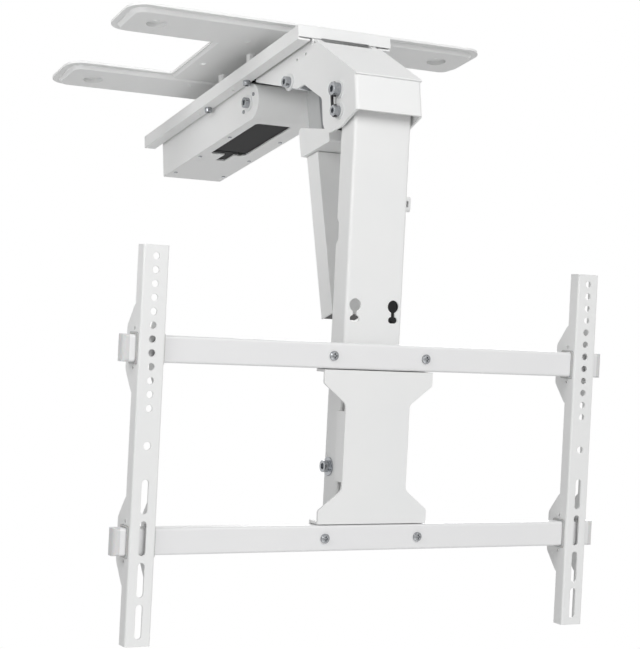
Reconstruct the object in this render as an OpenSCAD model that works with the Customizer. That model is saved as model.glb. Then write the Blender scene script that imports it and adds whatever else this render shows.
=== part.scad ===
// Motorised flip-down television ceiling mount.
// Frame: +Z up, +X along the television, -Y towards the viewer.
// The origin is the centre of the ceiling plate's upper face, which lies on the ceiling.

/* [Ceiling plate] */
// Width of the plate over its arms
plate_w = 504; // [460:1:560]
// Depth of the plate, front arm to rear arm
plate_d = 325; // [300:1:360]
// Width of each arm
arm_d = 94; // [80:1:105]
// Width of the web that joins the arms
web_w = 212; // [170:1:260]
// Sheet thickness of the plate
plate_t = 3; // [2:0.5:4]
// Depth of the pan pressed down inside the flat flange
pan_h = 5; // [4:0.5:8]
// Corner radius of the arm ends
plate_r = 24; // [12:1:34]
// Ceiling screw spacing across
screw_span_x = 406; // [360:1:420]
// Ceiling screw spacing from front to rear
screw_span_y = 235; // [220:1:250]
// Diameter of the ceiling screw holes
screw_hole_d = 9; // [6:0.5:11]

/* [Top rail] */
// Length of the rail
rail_len = 513; // [500:1:540]
// Width of the rail
rail_w = 129; // [127:1:140]
// Height of the rail's side flange
rail_h = 17.5; // [16:0.5:22]
// Sheet thickness of the rail
rail_t = 2.5; // [2:0.5:3]
// Free height between ceiling plate and rail
plate_gap = 27; // [22:1:38]
// Distance from the hinge back to the rail's front end
rail_setback = 61; // [56:1:64]

/* [Head] */
// Width of the head over its side plates
head_w = 89; // [88:0.5:92]
// Sheet thickness of the head
head_t = 3; // [2.5:0.5:3.5]
// Distance of the hinge in front of the plate's centre
hinge_ahead = 293; // [285:1:300]
// Height of the rail's top above the hinge
rail_rise = 98; // [96:1:104]
// Distance from the hinge to the hood's front face
hood_front = 40; // [38:1:46]
// Lower edge of the hood below the hinge
hood_low = 35; // [28:1:38]
// Upper edge of the hood's front face above the hinge
hood_high = 9; // [4:1:14]
// Hinge bolt diameter
hinge_d = 10; // [8:0.5:12]

/* [Column] */
// Width of the column
column_w = 76; // [74:1:76]
// Depth of the column
column_d = 32.5; // [30:0.5:34]
// Sheet thickness of the column
column_t = 2.5; // [2:0.5:3]
// Length from the hinge to the column's foot
column_len = 536; // [530:1:545]
// Lean of the column from the vertical, foot to the rear
lean = 11; // [9:0.5:13]

/* [Cross tubes] */
// Length of each cross tube without its end caps
tube_len = 621; // [615:1:665]
// Height of each cross tube
tube_h = 30; // [26:1:32]
// Depth of each cross tube
tube_d = 18; // [15:0.5:20]
// Wall of each cross tube
tube_t = 1.5; // [1.2:0.1:2]
// Centre of the upper tube below the hinge
tube_drop = 312.6; // [308:0.2:318]
// Spacing of the two tubes
tube_pitch = 210; // [205:1:212]

/* [Television rails] */
// Length of each television rail
tv_rail_len = 435; // [430:1:450]
// Width of each television rail
tv_rail_w = 30; // [28:0.5:34]
// Sheet thickness of each television rail
tv_rail_t = 2.5; // [2:0.5:3]
// Distance between the hole lines of the two rails
tv_span = 574; // [560:1:576]
// Pitch of the round holes
hole_pitch = 15; // [13:0.5:15]
// Diameter of the round holes
tv_hole_d = 8; // [6:0.5:9]
// Length of each slot
slot_len = 37.6; // [30:0.2:38]
// Pitch of the slots
slot_pitch = 45.1; // [44:0.1:45.5]

/* [Drive] */
// Upper actuator pivot behind the hinge
pivot_back = 128; // [126:1:131]
// Upper actuator pivot above the hinge
pivot_up = 48; // [43:0.5:49]
// Lower actuator pivot along the column
foot_pivot = 444; // [440:1:452]
// Lower actuator pivot in front of the hinge line
foot_pivot_in = 8.6; // [7:0.2:10]
// Width of the actuator cover
cover_w = 46; // [44:1:50]
// Depth of the actuator cover
cover_d = 29; // [28:0.5:31]
// Diameter of the actuator's outer tube
barrel_d = 24; // [24:0.5:25]
// Diameter of the actuator's rod
rod_d = 16; // [14:0.5:16]

/* [Casing] */
// Width of the electronics casing
casing_w = 91; // [88:1:93]
// Height of the casing's nose
casing_h = 48; // [44:1:50]
// Length of the casing from its nose
casing_len = 332; // [325:1:345]
// Distance from the hinge back to the casing's nose
casing_back = 217.5; // [216:0.5:225]
// Sheet thickness of the casing
casing_t = 2; // [1.5:0.5:2.5]

/* [Hidden] */
$fn = 48;

// Overrun of every cut past the face that it opens
cut = 1;
// Running gap between sheet parts that move past each other
play = 0.5;
// Radial running gap of pins in their bushes
fit = 0.05;
// Wall and flange of the hinge bushes
bush_wall = 2;
bush_flange = 3;

// Heights and depths that follow from the driving sizes
rail_top = -plate_t - plate_gap;
hinge_z = rail_top - rail_rise;
hinge_y = -hinge_ahead;
head_half = head_w / 2;
head_in = head_half - head_t;
column_half = column_w / 2;
column_in = column_half - column_t;
rail_half = rail_w / 2;
web_low = rail_rise - rail_t;
lip_low = rail_rise - rail_h;
lip_top = lip_low + rail_t;
// Free edge of the lips from the rail's centre plane
lip_half = 48;

// Fastener sizes
m10_af = 16;
m10_nut_h = 8;
m10_head_d = 14;
m10_head_h = 7;
hinge_head_d = 16;
hinge_head_h = 9;
ear_head_d = 13;
ear_head_h = 8;
m8_d = 8;
m8_af = 13;
m8_nut_h = 6.5;
m8_head_d = 12;
m8_head_h = 6;
m6_d = 6;
m6_af = 10;
m6_nut_h = 5;
m6_head_d = 11;
m6_head_h = 3.2;
m4_d = 4;
m4_head_d = 7;
m4_head_h = 2;
m3_d = 3;
m3_head_d = 5;
m3_head_h = 1.5;
washer_t = 1.6;
hinge_washer_d = 22;
small_washer_d = 20;
socket_share = 0.5;
// Locking clip that hooks round the heads of the two ear bolts from behind
lock_t = 2.5;
lock_w = 1.2;

// Column section: front face and rear edge from the hinge line
column_rear = 1.1;
column_front = column_d - column_rear;
hinge_lobe_r = 16;
column_web_top = 12;
column_bend_r = 4;
// Clearance notch in the rear edges of the column's flanks
notch_top = 152;
notch_len = 30;
notch_depth = 5;
notch_r = 6;

// Keyholes in the column's front
keyhole_x = 25.7;
keyhole_drop = 252.8;
keyhole_d = 15.2;
keyhole_neck = 5.5;
keyhole_fall = 16;
keyhole_foot_w = 12.5;
keyhole_foot_h = 7.5;

// Bracket between the tubes
bracket_t = 3;
bracket_half = 72;
bracket_waist = 42.5;
bracket_shoulder = 16;
bracket_slope = 23;
bracket_tip_r = 1;
bracket_out_r = 5;
bracket_in_r = 9;
tube_screw_x = 61.4;
tube_rear = column_front + bracket_t;
tube_front = tube_rear + tube_d;
low_tube_drop = tube_drop + tube_pitch;
tube_r = 3;
cap_t = 8;
cap_r = 6;
cap_plug = 12;

// Television rail section and flares
tv_rail_gap = 4;
tv_rail_front = tube_front + tv_rail_gap + tv_rail_t;
// Height of a rail's upper end above the upper tube
tv_rail_rise = 112.6;
tv_rail_top = tube_drop - tv_rail_rise;
tv_flange = 16.6;
tv_bend_r = 2.4;
flare_depth = 38.5;
flare_tip = 24;
flare_foot = 50;
flare_in_r = 14;
flare_out_r = 8;
hole_first = 12;
hole_count = 12;
single_hole = 205.7;
single_hole_d = 9;
slot_first = 242.1;
slot_count = 4;
slot_w = 8;
window_play = 2.6;
guide_play = 0.4;
guide_fit = 0.1;
guide_proud = 1.5;
pin_hole_d = 4;

// Actuator line from the upper pivot to the lower one
foot_y = foot_pivot * sin(lean) - foot_pivot_in * cos(lean);
foot_z = -foot_pivot * cos(lean) - foot_pivot_in * sin(lean);
reach = norm([foot_y - pivot_back, foot_z - pivot_up]);
strut_tilt = atan2(foot_y - pivot_back, pivot_up - foot_z);
eye_half = 8;
eye_d = 24;
rod_eye_d = 22;
sleeve_d = 16;
// Cast block that carries the upper eye down to the gear housing
head_block_half = 14;
head_block_rear = 16;
head_block_front = 16;
pivot_d = hinge_d;
open_gap = 1;

// A point of an arc that rounds the corner b between a and c
function unit(v) = v / norm(v);
function corner(a, b, c, r, n = 6) = r <= 0 ? [b] : let(
    u = unit(a - b),
    w = unit(c - b),
    half = acos(u * w) / 2,
    p = b + u * r / tan(half),
    q = b + w * r / tan(half),
    o = b + unit(u + w) * r / sin(half),
    a0 = atan2(p[1] - o[1], p[0] - o[0]),
    a1 = atan2(q[1] - o[1], q[0] - o[0]),
    turn = ((a1 - a0 + 540) % 360) - 180)
    [for (i = [0 : n]) o + r * [cos(a0 + turn * i / n), sin(a0 + turn * i / n)]];
function rounded(pts, radii) = let(k = len(pts))
    [for (i = [0 : k - 1]) each corner(pts[(i + k - 1) % k], pts[i], pts[(i + 1) % k], radii[i])];

// Places children in the frame of the hinge
module at_hinge() {
    translate([0, hinge_y, hinge_z]) children();
}

// Places children in the column's frame: -Z runs down the column, -Y to its front
module on_column() {
    at_hinge() rotate([lean, 0, 0]) children();
}

// Places children in the actuator's frame: -Z runs from the upper pivot to the lower one
module on_strut() {
    at_hinge() translate([0, pivot_back, pivot_up]) rotate([strut_tilt, 0, 0]) children();
}

// Extrudes an outline drawn in Y and Z along X
module along_x(from, length) {
    translate([from, 0, 0]) rotate([90, 0, 90]) linear_extrude(length) children();
}

// A round bar along X
module bar_x(from, length, d) {
    translate([from, 0, 0]) rotate([0, 90, 0]) cylinder(h = length, d = d);
}

// A plain block between two corners
module block(low, high) {
    translate(low) cube(high - low);
}

// A rounded rectangle about the origin, made of true arcs
module soft_rect(w, h, r) {
    square([w - 2 * r, h], center = true);
    square([w, h - 2 * r], center = true);
    for (x = [-1, 1], y = [-1, 1]) translate([x * (w / 2 - r), y * (h / 2 - r)]) circle(r);
}

// A hexagon across flats af
module hex(af, h) {
    cylinder(h = h, d = af / cos(30), $fn = 6);
}

// Repeats children on both sides of the centre plane
module both_sides() {
    for (side = [0, 1]) mirror([side, 0, 0]) children();
}

// A socket-head bolt that points to -X with its head's seat at the origin
module socket_bolt(d, length, head_d, head_h) {
    difference() {
        union() {
            bar_x(-length, length, d);
            bar_x(0, head_h, head_d);
        }
        translate([head_h * socket_share, 0, 0]) rotate([0, 90, 0]) hex(head_d * socket_share, head_h);
    }
}

// Outline of the ceiling plate, drawn in by inset
module plate_outline(inset) {
    arm_y = (plate_d - arm_d) / 2;
    for (side = [-1, 1]) translate([0, side * arm_y])
        soft_rect(plate_w - 2 * inset, arm_d - 2 * inset, plate_r - inset);
    square([web_w - 2 * inset, plate_d - arm_d], center = true);
    for (x = [-1, 1], y = [-1, 1])
        translate([x * (web_w / 2 - inset), y * (arm_y - arm_d / 2 + inset)]) difference() {
            translate([x > 0 ? 0 : -crook_r, y > 0 ? -crook_r : 0]) square(crook_r);
            translate([x * crook_r, -y * crook_r]) circle(crook_r);
        }
}

// One sloped block of the pan: it narrows by slope from its upper to its lower face
module pan_block(w, d, r, top, h) {
    hull() {
        translate([0, 0, top - edge_step]) linear_extrude(edge_step) soft_rect(w, d, r);
        translate([0, 0, top - h]) linear_extrude(edge_step)
            soft_rect(w - 2 * pan_slope, d - 2 * pan_slope, r - pan_slope);
    }
}

// The pan's body, drawn in by inset past the flange: deep in the arms and shallow in the web
module pan_body(inset, top) {
    arm_y = (plate_d - arm_d) / 2;
    arm_inset = flange_w + inset;
    web_inset = web_flange_w + inset;
    for (side = [-1, 1]) translate([0, side * arm_y, 0])
        pan_block(plate_w - 2 * arm_inset, arm_d - 2 * arm_inset, plate_r - arm_inset, top, pan_h);
    pan_block(web_w - 2 * web_inset, plate_d - arm_d, plate_r - arm_inset, top, web_pan_h);
}

// Width of the flat flange round the pan, and the pan's slope and corner sizes
flange_w = 8;
web_flange_w = 3;
web_pan_h = pan_h / 2;
pan_slope = 4;
edge_step = 0.2;
crook_r = 5;
// Dimple pressed back up round each ceiling screw hole
boss_d = 30;
boss_wall = 2;
// Small service holes in the arms
vent_d = 5;
vent_x = 68;
vent_y = 96;
web_hole_x = 85;
web_hole_y = 10;
web_hole_d = 8;
post_x = 40;
post_y = 45.5;

module ceiling_plate() {
    dimple_h = pan_h - plate_t;
    color("whitesmoke") difference() {
        union() {
            difference() {
                union() {
                    translate([0, 0, -plate_t]) linear_extrude(plate_t) plate_outline(0);
                    pan_body(0, -plate_t);
                }
                pan_body(plate_t / 2, 0);
                for (x = [-1, 1], y = [-1, 1])
                    translate([x * screw_span_x / 2, y * screw_span_y / 2, -plate_t - pan_h - cut])
                        cylinder(h = pan_h + plate_t + 2 * cut, d = boss_d - 2 * boss_wall);
            }
            for (x = [-1, 1], y = [-1, 1])
                translate([x * screw_span_x / 2, y * screw_span_y / 2, -plate_t]) {
                cylinder(h = plate_t, d = boss_d);
                translate([0, 0, -dimple_h]) difference() {
                    cylinder(h = dimple_h, d = boss_d);
                    translate([0, 0, -cut]) cylinder(h = dimple_h + cut, d = boss_d - 2 * boss_wall);
                }
            }
        }
        for (x = [-1, 1], y = [-1, 1])
            translate([x * screw_span_x / 2, y * screw_span_y / 2, -plate_t - cut])
            cylinder(h = plate_t + 2 * cut, d = screw_hole_d);
        for (x = [-1, 1], y = [-1, 1]) translate([x * vent_x, y * vent_y, -plate_t - pan_h - cut])
            cylinder(h = pan_h + plate_t + 2 * cut, d = vent_d);
        for (x = [-1, 1]) translate([x * web_hole_x, web_hole_y, -plate_t - pan_h - cut])
            cylinder(h = pan_h + plate_t + 2 * cut, d = web_hole_d);
        for (x = [-1, 1], y = [-1, 1]) translate([x * post_x, y * post_y, -plate_t - pan_h - cut])
            cylinder(h = pan_h + plate_t + 2 * cut, d = m8_d);
    }
}

module plate_spacers() {
    color("whitesmoke") for (x = [-1, 1], y = [-1, 1]) translate([x * post_x, y * post_y, rail_top])
        difference() {
            cylinder(h = plate_gap - web_pan_h, d = m8_d + 2 * rail_t);
            translate([0, 0, -cut]) cylinder(h = plate_gap - web_pan_h + 2 * cut, d = m8_d + play);
        }
}

// Thickness of the studs' heads, and how far their tops lie below the ceiling
stud_head_t = 2;
stud_head = web_pan_h - stud_head_t;
stud_len = plate_gap + plate_t - stud_head + rail_t + m8_nut_h + rail_t;

module plate_studs() {
    color("silver") for (x = [-1, 1], y = [-1, 1]) translate([x * post_x, y * post_y, 0]) {
        translate([0, 0, -stud_len - stud_head]) cylinder(h = stud_len, d = m8_d);
        translate([0, 0, -web_pan_h]) cylinder(h = stud_head_t, d = m8_head_d);
    }
}

module plate_nuts() {
    color("silver") for (x = [-1, 1], y = [-1, 1])
        translate([x * post_x, y * post_y, rail_top - rail_t - m8_nut_h]) difference() {
            hex(m8_af, m8_nut_h);
            translate([0, 0, -cut]) cylinder(h = m8_nut_h + 2 * cut, d = m8_d);
        }
}

// Rail along Y: the front cap closes its end
cap_sheet = 2;
rail_front = rail_setback + cap_sheet;
rail_rear = rail_setback + rail_len;
lip_bolt_x = 55;
lip_bolt_back = [232, 358];
lip_rivet_back = [275, 390];

module top_rail() {
    color("whitesmoke") at_hinge() difference() {
        block([-rail_half, rail_front, lip_low], [rail_half, rail_rear, rail_rise]);
        block([rail_t - rail_half, rail_front - cut, lip_top],
            [rail_half - rail_t, rail_rear + cut, web_low]);
        block([-lip_half, rail_front - cut, lip_low - cut], [lip_half, rail_rear + cut, lip_top + cut]);
        for (x = [-1, 1], y = lip_bolt_back) translate([x * lip_bolt_x, y, lip_low - cut])
            cylinder(h = rail_t + 2 * cut, d = m6_d);
        for (x = [-1, 1], y = lip_rivet_back) translate([x * lip_bolt_x, y, lip_low - cut])
            cylinder(h = rail_t + 2 * cut, d = m3_d);
        for (x = [-1, 1], y = [-1, 1]) translate([x * post_x, y * post_y - hinge_y, web_low - cut])
            cylinder(h = rail_t + 2 * cut, d = m8_d);
    }
}

front_cap_h = 14;
front_slot_half = 33.5;
front_slot_h = 0.9;

module rail_front_cap() {
    low = rail_rise - front_cap_h;
    color("whitesmoke") at_hinge() difference() {
        block([-rail_half, rail_setback, low], [rail_half, rail_front, rail_rise]);
        block([-front_slot_half, rail_setback - cut, low - cut],
            [front_slot_half, rail_front + cut, low + front_slot_h]);
    }
}

module lip_bolts() {
    color("silver") at_hinge() for (x = [-1, 1], y = lip_bolt_back) translate([x * lip_bolt_x, y, lip_low])
        rotate([0, 90, 0]) socket_bolt(m6_d, rail_t + casing_t + m6_nut_h, m6_af, m6_d);
}

module lip_nuts() {
    color("silver") at_hinge() for (x = [-1, 1], y = lip_bolt_back)
        translate([x * lip_bolt_x, y, lip_top + casing_t]) difference() {
            hex(m6_af, m6_nut_h);
            translate([0, 0, -cut]) cylinder(h = m6_nut_h + 2 * cut, d = m6_d);
        }
}

// Takes the sharp corner off a bend between a front and a flank
module corner_cut(half, front, r, top, foot) {
    translate([0, 0, foot]) linear_extrude(top - foot) difference() {
        translate([half - r, -front - cut]) square([r + cut, r + cut]);
        translate([half - r, r - front]) circle(r);
    }
}

// Outline of the head's side plates about the hinge
ear_back = 45;
ear_low = 45;
ear_rise = 3;
ear_r = 20;
ear_low_r = 24;
ear_step_r = 8;
hood_r = 6;
hood_bend_r = 4;
hood_lip = 1.6;
hood_tab_x = 38;
hood_tab_w = 8.5;
sheet_r = 3;
edge_r = 2;
gusset_front = 90.5;
gusset_low = 34;
gusset_flat = 19;
gusset_end = 226;
gusset_tip = 78;
slant_end = 50;
slant_top = 76;
lower_bolt_back = 2;
lower_bolt_drop = 26;
pin_back = [82, 106];
pin_up = 70.4;

function side_plate_points() = rounded([
    [-hood_front, -hood_low], [-hood_front, hood_high], [slant_end, slant_top],
    [rail_front, slant_top], [rail_front, web_low], [gusset_end, web_low], [gusset_end, gusset_tip],
    [gusset_front + gusset_flat, gusset_low], [gusset_front, gusset_low], [ear_back, ear_rise],
    [ear_back, -ear_low], [0, -ear_low]],
    [edge_r, hood_r, sheet_r, 0, 0, 0, sheet_r, hood_r, edge_r, ear_step_r, ear_r, ear_low_r]);

module head_frame() {
    color("whitesmoke") at_hinge() difference() {
        union() {
            both_sides() along_x(head_in, head_t) polygon(side_plate_points());
            block([-head_in - edge_step, -hood_front, -hood_low],
                [head_in + edge_step, head_t - hood_front, hood_high]);
            both_sides() bend_fill(head_in, head_t - hood_front, hood_bend_r - head_t,
                hood_high - edge_r, -hood_low);
            along_x(-head_half, 2 * head_half) polygon([
                [-hood_front - hood_lip, hood_high - head_t / 2], [-hood_front - hood_lip, hood_high],
                [slant_end, slant_top], [slant_end, slant_top - head_t],
                [head_t - hood_front, hood_high - head_t]]);
            both_sides() along_x(hood_tab_x - hood_tab_w / 2, hood_tab_w) polygon([
                [slant_end - head_t, slant_top - 2 * head_t], [slant_end, slant_top],
                [rail_setback + rail_t, rail_rise - front_cap_h],
                [rail_setback + rail_t, rail_rise - front_cap_h - head_t]]);
        }
        both_sides() corner_cut(head_half, hood_front, hood_bend_r, hood_high - edge_r, -hood_low - cut);
        bar_x(-head_w, 2 * head_w, hinge_d);
        translate([0, lower_bolt_back, -lower_bolt_drop]) bar_x(-head_w, 2 * head_w, m8_d);
        translate([0, pivot_back, pivot_up]) bar_x(-head_w, 2 * head_w, pivot_d);
        for (y = pin_back) translate([0, y, pin_up]) bar_x(-head_w, 2 * head_w, m4_d);
    }
}

doubler_gap = 0.6;
doubler_w = 34;
doubler_up = 17;
doubler_down = 42;

module ear_doublers() {
    color("gainsboro") at_hinge() both_sides() difference() {
        along_x(column_half + doubler_gap, head_in - column_half - doubler_gap)
            translate([0, (doubler_up - doubler_down) / 2])
                soft_rect(doubler_w, doubler_up + doubler_down, hinge_lobe_r);
        bar_x(0, head_w, hinge_d);
        translate([0, lower_bolt_back, -lower_bolt_drop]) bar_x(0, head_w, m8_d);
    }
}

cheek_t = 4;
cheek_in = column_in - cheek_t;

module hinge_bolts() {
    seat = head_half + washer_t;
    color("silver") at_hinge() both_sides() translate([seat, 0, 0])
        socket_bolt(hinge_d, seat - cheek_in + play + m10_nut_h, hinge_head_d, hinge_head_h);
}

module hinge_nuts() {
    color("silver") at_hinge() both_sides() translate([cheek_in - play - m10_nut_h, 0, 0])
        rotate([0, 90, 0])
        difference() {
            hex(m10_af, m10_nut_h);
            translate([0, 0, -cut]) cylinder(h = m10_nut_h + 2 * cut, d = hinge_d);
        }
}

module ear_lower_bolts() {
    seat = head_half + washer_t;
    color("silver") at_hinge() both_sides() translate([seat, lower_bolt_back, -lower_bolt_drop])
        socket_bolt(m8_d, seat - column_half - doubler_gap, ear_head_d, ear_head_h);
}

module washer_x(from, d, bore) {
    difference() {
        bar_x(from, washer_t, d);
        bar_x(from - cut, washer_t + 2 * cut, bore);
    }
}

module ear_washers() {
    color("gainsboro") at_hinge() both_sides() {
        washer_x(head_half, hinge_washer_d, hinge_d);
        translate([0, lower_bolt_back, -lower_bolt_drop]) washer_x(head_half, small_washer_d, m8_d);
        translate([0, pivot_back, pivot_up]) washer_x(head_half, hinge_washer_d, pivot_d);
    }
}

module bolt_locks() {
    color("dimgray") at_hinge() both_sides()
        translate([head_half + washer_t + ear_head_h - 2 * lock_t, 0, 0])
        difference() {
            union() {
                bar_x(0, lock_t, hinge_head_d + 2 * lock_w);
                translate([0, lower_bolt_back, -lower_bolt_drop]) bar_x(0, lock_t, ear_head_d + 2 * lock_w);
                block([0, hinge_head_d / 2 - lock_w, -lower_bolt_drop],
                    [lock_t, hinge_head_d / 2 + 1.5 * lock_w, 0]);
            }
            bar_x(-cut, lock_t + 2 * cut, hinge_head_d);
            translate([0, lower_bolt_back, -lower_bolt_drop]) bar_x(-cut, lock_t + 2 * cut, ear_head_d);
            block([-cut, -hinge_head_d, -lower_bolt_drop - hinge_head_d], [lock_t + cut, 0, hinge_head_d]);
        }
}

module top_pivot_bolt() {
    color("silver") at_hinge() translate([-head_half - washer_t, pivot_back, pivot_up]) mirror([1, 0, 0])
        socket_bolt(pivot_d, head_w + 2 * washer_t + m10_nut_h, m10_head_d, m10_head_h);
}

module top_pivot_nut() {
    color("silver") at_hinge() translate([head_half + washer_t, pivot_back, pivot_up]) rotate([0, 90, 0])
        difference() {
            hex(m10_af, m10_nut_h);
            translate([0, 0, -cut]) cylinder(h = m10_nut_h + 2 * cut, d = pivot_d);
        }
}

module top_pivot_sleeves() {
    color("silver") at_hinge() translate([0, pivot_back, pivot_up]) both_sides() difference() {
        bar_x(head_block_half + play / 2, head_in - head_block_half - play / 2, sleeve_d);
        bar_x(0, head_w, pivot_d);
    }
}

// Casing: a channel with a round nose that hangs between the rail's lips
nose_r = casing_h / 2;
nose_y = casing_back + nose_r;
nose_z = lip_low - play - nose_r;
casing_half = casing_w / 2;
casing_low = nose_z - nose_r;
casing_rear = casing_back + casing_len;
flange_half = lip_bolt_x + m6_d;
ledge_w = 11;
bottom_front = nose_y + casing_t;
casing_screw_x = casing_half - casing_t - ledge_w / 2;
casing_screw_shares = [0.33, 0.637, 0.911];
nose_bolt_back = 6;
nose_bolt_y = nose_y + nose_bolt_back;
nose_screw_r = nose_r * 0.73;
nose_screw_turn = [-26, 154];

// A place along the casing from the hinge, given as a share of the casing's length
function along_casing(share) = casing_back + share * casing_len;
function casing_places(shares) = [for (share = shares) along_casing(share)];

module casing_outline(inset) {
    translate([nose_y, nose_z]) circle(nose_r - inset);
    translate([nose_y, casing_low + inset])
        square([casing_rear - inset - nose_y, lip_top + casing_t - casing_low - inset]);
}

module casing_shell() {
    color("whitesmoke") at_hinge() difference() {
        union() {
            difference() {
                along_x(-casing_half, casing_w) casing_outline(0);
                along_x(casing_t - casing_half, casing_w - 2 * casing_t) casing_outline(casing_t);
                block([casing_t - casing_half, nose_y, lip_low],
                    [casing_half - casing_t, casing_rear - casing_t,
                    lip_top + casing_t + cut]);
                block([casing_t - casing_half, bottom_front, casing_low - cut],
                    [casing_half - casing_t, casing_rear - casing_t, nose_z]);
            }
            both_sides() block([casing_half - casing_t, nose_y, lip_top],
                [flange_half, casing_rear, lip_top + casing_t]);
            both_sides() block([casing_half - casing_t - ledge_w, bottom_front + ledge_w,
                casing_low + casing_t],
                [casing_half - casing_t, casing_rear - casing_t, casing_low + 2 * casing_t]);
        }
        for (x = [-1, 1], y = lip_bolt_back) translate([x * lip_bolt_x, y, lip_top - cut])
            cylinder(h = casing_t + 2 * cut, d = m6_d);
        for (x = [-1, 1], y = casing_places(casing_screw_shares))
            translate([x * casing_screw_x, y, casing_low])
            cylinder(h = 3 * casing_t, d = m3_d);
        translate([0, nose_bolt_y, nose_z]) {
            bar_x(-casing_w, 2 * casing_w, m8_d);
            for (a = nose_screw_turn) rotate([a, 0, 0]) translate([0, nose_screw_r, 0])
                bar_x(-casing_w, 2 * casing_w, m3_d);
        }
        block([inlet_x - inlet_w / 2, casing_rear - 2 * casing_t, inlet_z - inlet_h / 2],
            [inlet_x + inlet_w / 2, casing_rear + cut, inlet_z + inlet_h / 2]);
    }
}

// Opening in the bottom plate, with its cable notch
window_left = -31;
window_right = 21;
window_front_share = 0.116;
window_front = along_casing(window_front_share);
window_rear_share = 0.58;
window_rear = along_casing(window_rear_share);
window_r = 6;
notch_left = -9;
notch_right = 5;
notch_rear_share = 0.673;
notch_rear = along_casing(notch_rear_share);

module casing_bottom() {
    color("whitesmoke") at_hinge() translate([0, 0, casing_low]) difference() {
        block([casing_t - casing_half, bottom_front, 0],
            [casing_half - casing_t, casing_rear - casing_t, casing_t]);
        translate([(window_left + window_right) / 2, (window_front + window_rear) / 2, -cut])
            linear_extrude(casing_t + 2 * cut)
                soft_rect(window_right - window_left, window_rear - window_front, window_r);
        block([notch_left, window_rear - window_r, -cut], [notch_right, notch_rear, casing_t + cut]);
        for (x = [-1, 1], y = casing_places(casing_screw_shares)) translate([x * casing_screw_x, y, -cut])
            cylinder(h = casing_t + 2 * cut, d = m3_d);
    }
}

module casing_screws() {
    color("silver") at_hinge() for (x = [-1, 1], y = casing_places(casing_screw_shares))
        translate([x * casing_screw_x, y, casing_low]) {
            translate([0, 0, -m3_head_h]) cylinder(h = m3_head_h, d = m3_head_d);
            cylinder(h = 2 * casing_t + m3_head_h, d = m3_d);
        }
}

module nose_bolts() {
    color("silver") at_hinge() both_sides() translate([casing_half + washer_t, nose_bolt_y, nose_z])
        socket_bolt(m8_d, washer_t + 3 * casing_t, m10_head_d, m8_head_h);
}

module nose_washers() {
    color("gainsboro") at_hinge() translate([0, nose_bolt_y, nose_z]) both_sides()
        washer_x(casing_half, hinge_washer_d, m8_d);
}

module nose_screws() {
    color("silver") at_hinge() translate([0, nose_bolt_y, nose_z]) both_sides()
        for (a = nose_screw_turn) rotate([a, 0, 0]) translate([0, nose_screw_r, 0]) {
            bar_x(casing_half, m3_head_h, m3_head_d);
            bar_x(casing_half - 2 * casing_t, 2 * casing_t, m3_d);
        }
}

// Electronics inside the casing
box_half = 30;
box_front_share = 0.128;
box_front = along_casing(box_front_share);
box_rear_share = 0.544;
box_rear = along_casing(box_rear_share);
box_low = casing_low + casing_t;
box_h = 38;
box_t = 2;
supply_gap = 3;
supply_rear_share = 0.791;
supply_rear = along_casing(supply_rear_share);
supply_h = 34;
rib_w = 3;
rib_pitch = 8;
rib_h = 2;
inlet_w = 27;
inlet_h = 20;
inlet_x = 22;
inlet_z = nose_z;
inlet_depth = 22;
inlet_flange = 3;

module control_box() {
    color("#1c1c1e") at_hinge() difference() {
        block([-box_half, box_front, box_low], [box_half, box_rear, box_low + box_h]);
        block([box_t - box_half, box_front + box_t, box_low + box_t],
            [box_half - box_t, box_rear - box_t, box_low + box_h + cut]);
    }
}

module control_lid() {
    color("#232326") at_hinge()
        block([-box_half, box_front, box_low + box_h], [box_half, box_rear, box_low + box_h + box_t]);
}

board_t = 1.6;
board_up = 6;
chip_h = 3;

module control_board() {
    color("darkgreen") at_hinge() {
        block([-box_half + 2 * box_t, box_front + 2 * box_t, box_low + box_t + board_up],
            [box_half - 2 * box_t, box_rear - 2 * box_t, box_low + box_t + board_up + board_t]);
        for (x = [-1, 1], y = [box_front + 4 * box_t, box_rear - 4 * box_t])
            translate([x * (box_half - 4 * box_t), y, box_low + box_t])
                cylinder(h = board_up, d = m4_head_d);
        for (k = [0 : 3])
            translate([0, box_front + box_t * 9 + k * box_rear / 15, box_low + box_t + board_up + board_t])
            block([-box_half / 3, 0, 0], [box_half / 3, box_half / 2, chip_h * (1 + k % 2)]);
    }
}

module power_supply() {
    color("#161618") at_hinge() {
        block([-box_half, box_rear + supply_gap, box_low], [box_half / 3, supply_rear, box_low + supply_h]);
        for (y = [box_rear + supply_gap + rib_pitch / 2 : rib_pitch : supply_rear - rib_w])
            block([-box_half + rib_w, y, box_low + supply_h - cut],
                [box_half / 3 - rib_w, y + rib_w, box_low + supply_h + rib_h]);
    }
}

module power_inlet() {
    pin_gap = inlet_w / 4;
    color("#1c1c1e") at_hinge() translate([inlet_x, casing_rear, inlet_z]) difference() {
        union() {
            block([-inlet_w / 2, -inlet_depth, -inlet_h / 2], [inlet_w / 2, 0, inlet_h / 2]);
            block([-inlet_w / 2 - inlet_flange, 0, -inlet_h / 2 - inlet_flange],
                [inlet_w / 2 + inlet_flange, box_t, inlet_h / 2 + inlet_flange]);
        }
        difference() {
            block([box_t - inlet_w / 2, box_t - inlet_depth, box_t - inlet_h / 2],
                [inlet_w / 2 - box_t, box_t + cut, inlet_h / 2 - box_t]);
            for (x = [-1, 0, 1]) translate([x * pin_gap, 0, 0])
                block([-board_t / 2, -inlet_depth, -box_t], [board_t / 2, -box_t, box_t]);
        }
    }
}

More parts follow.
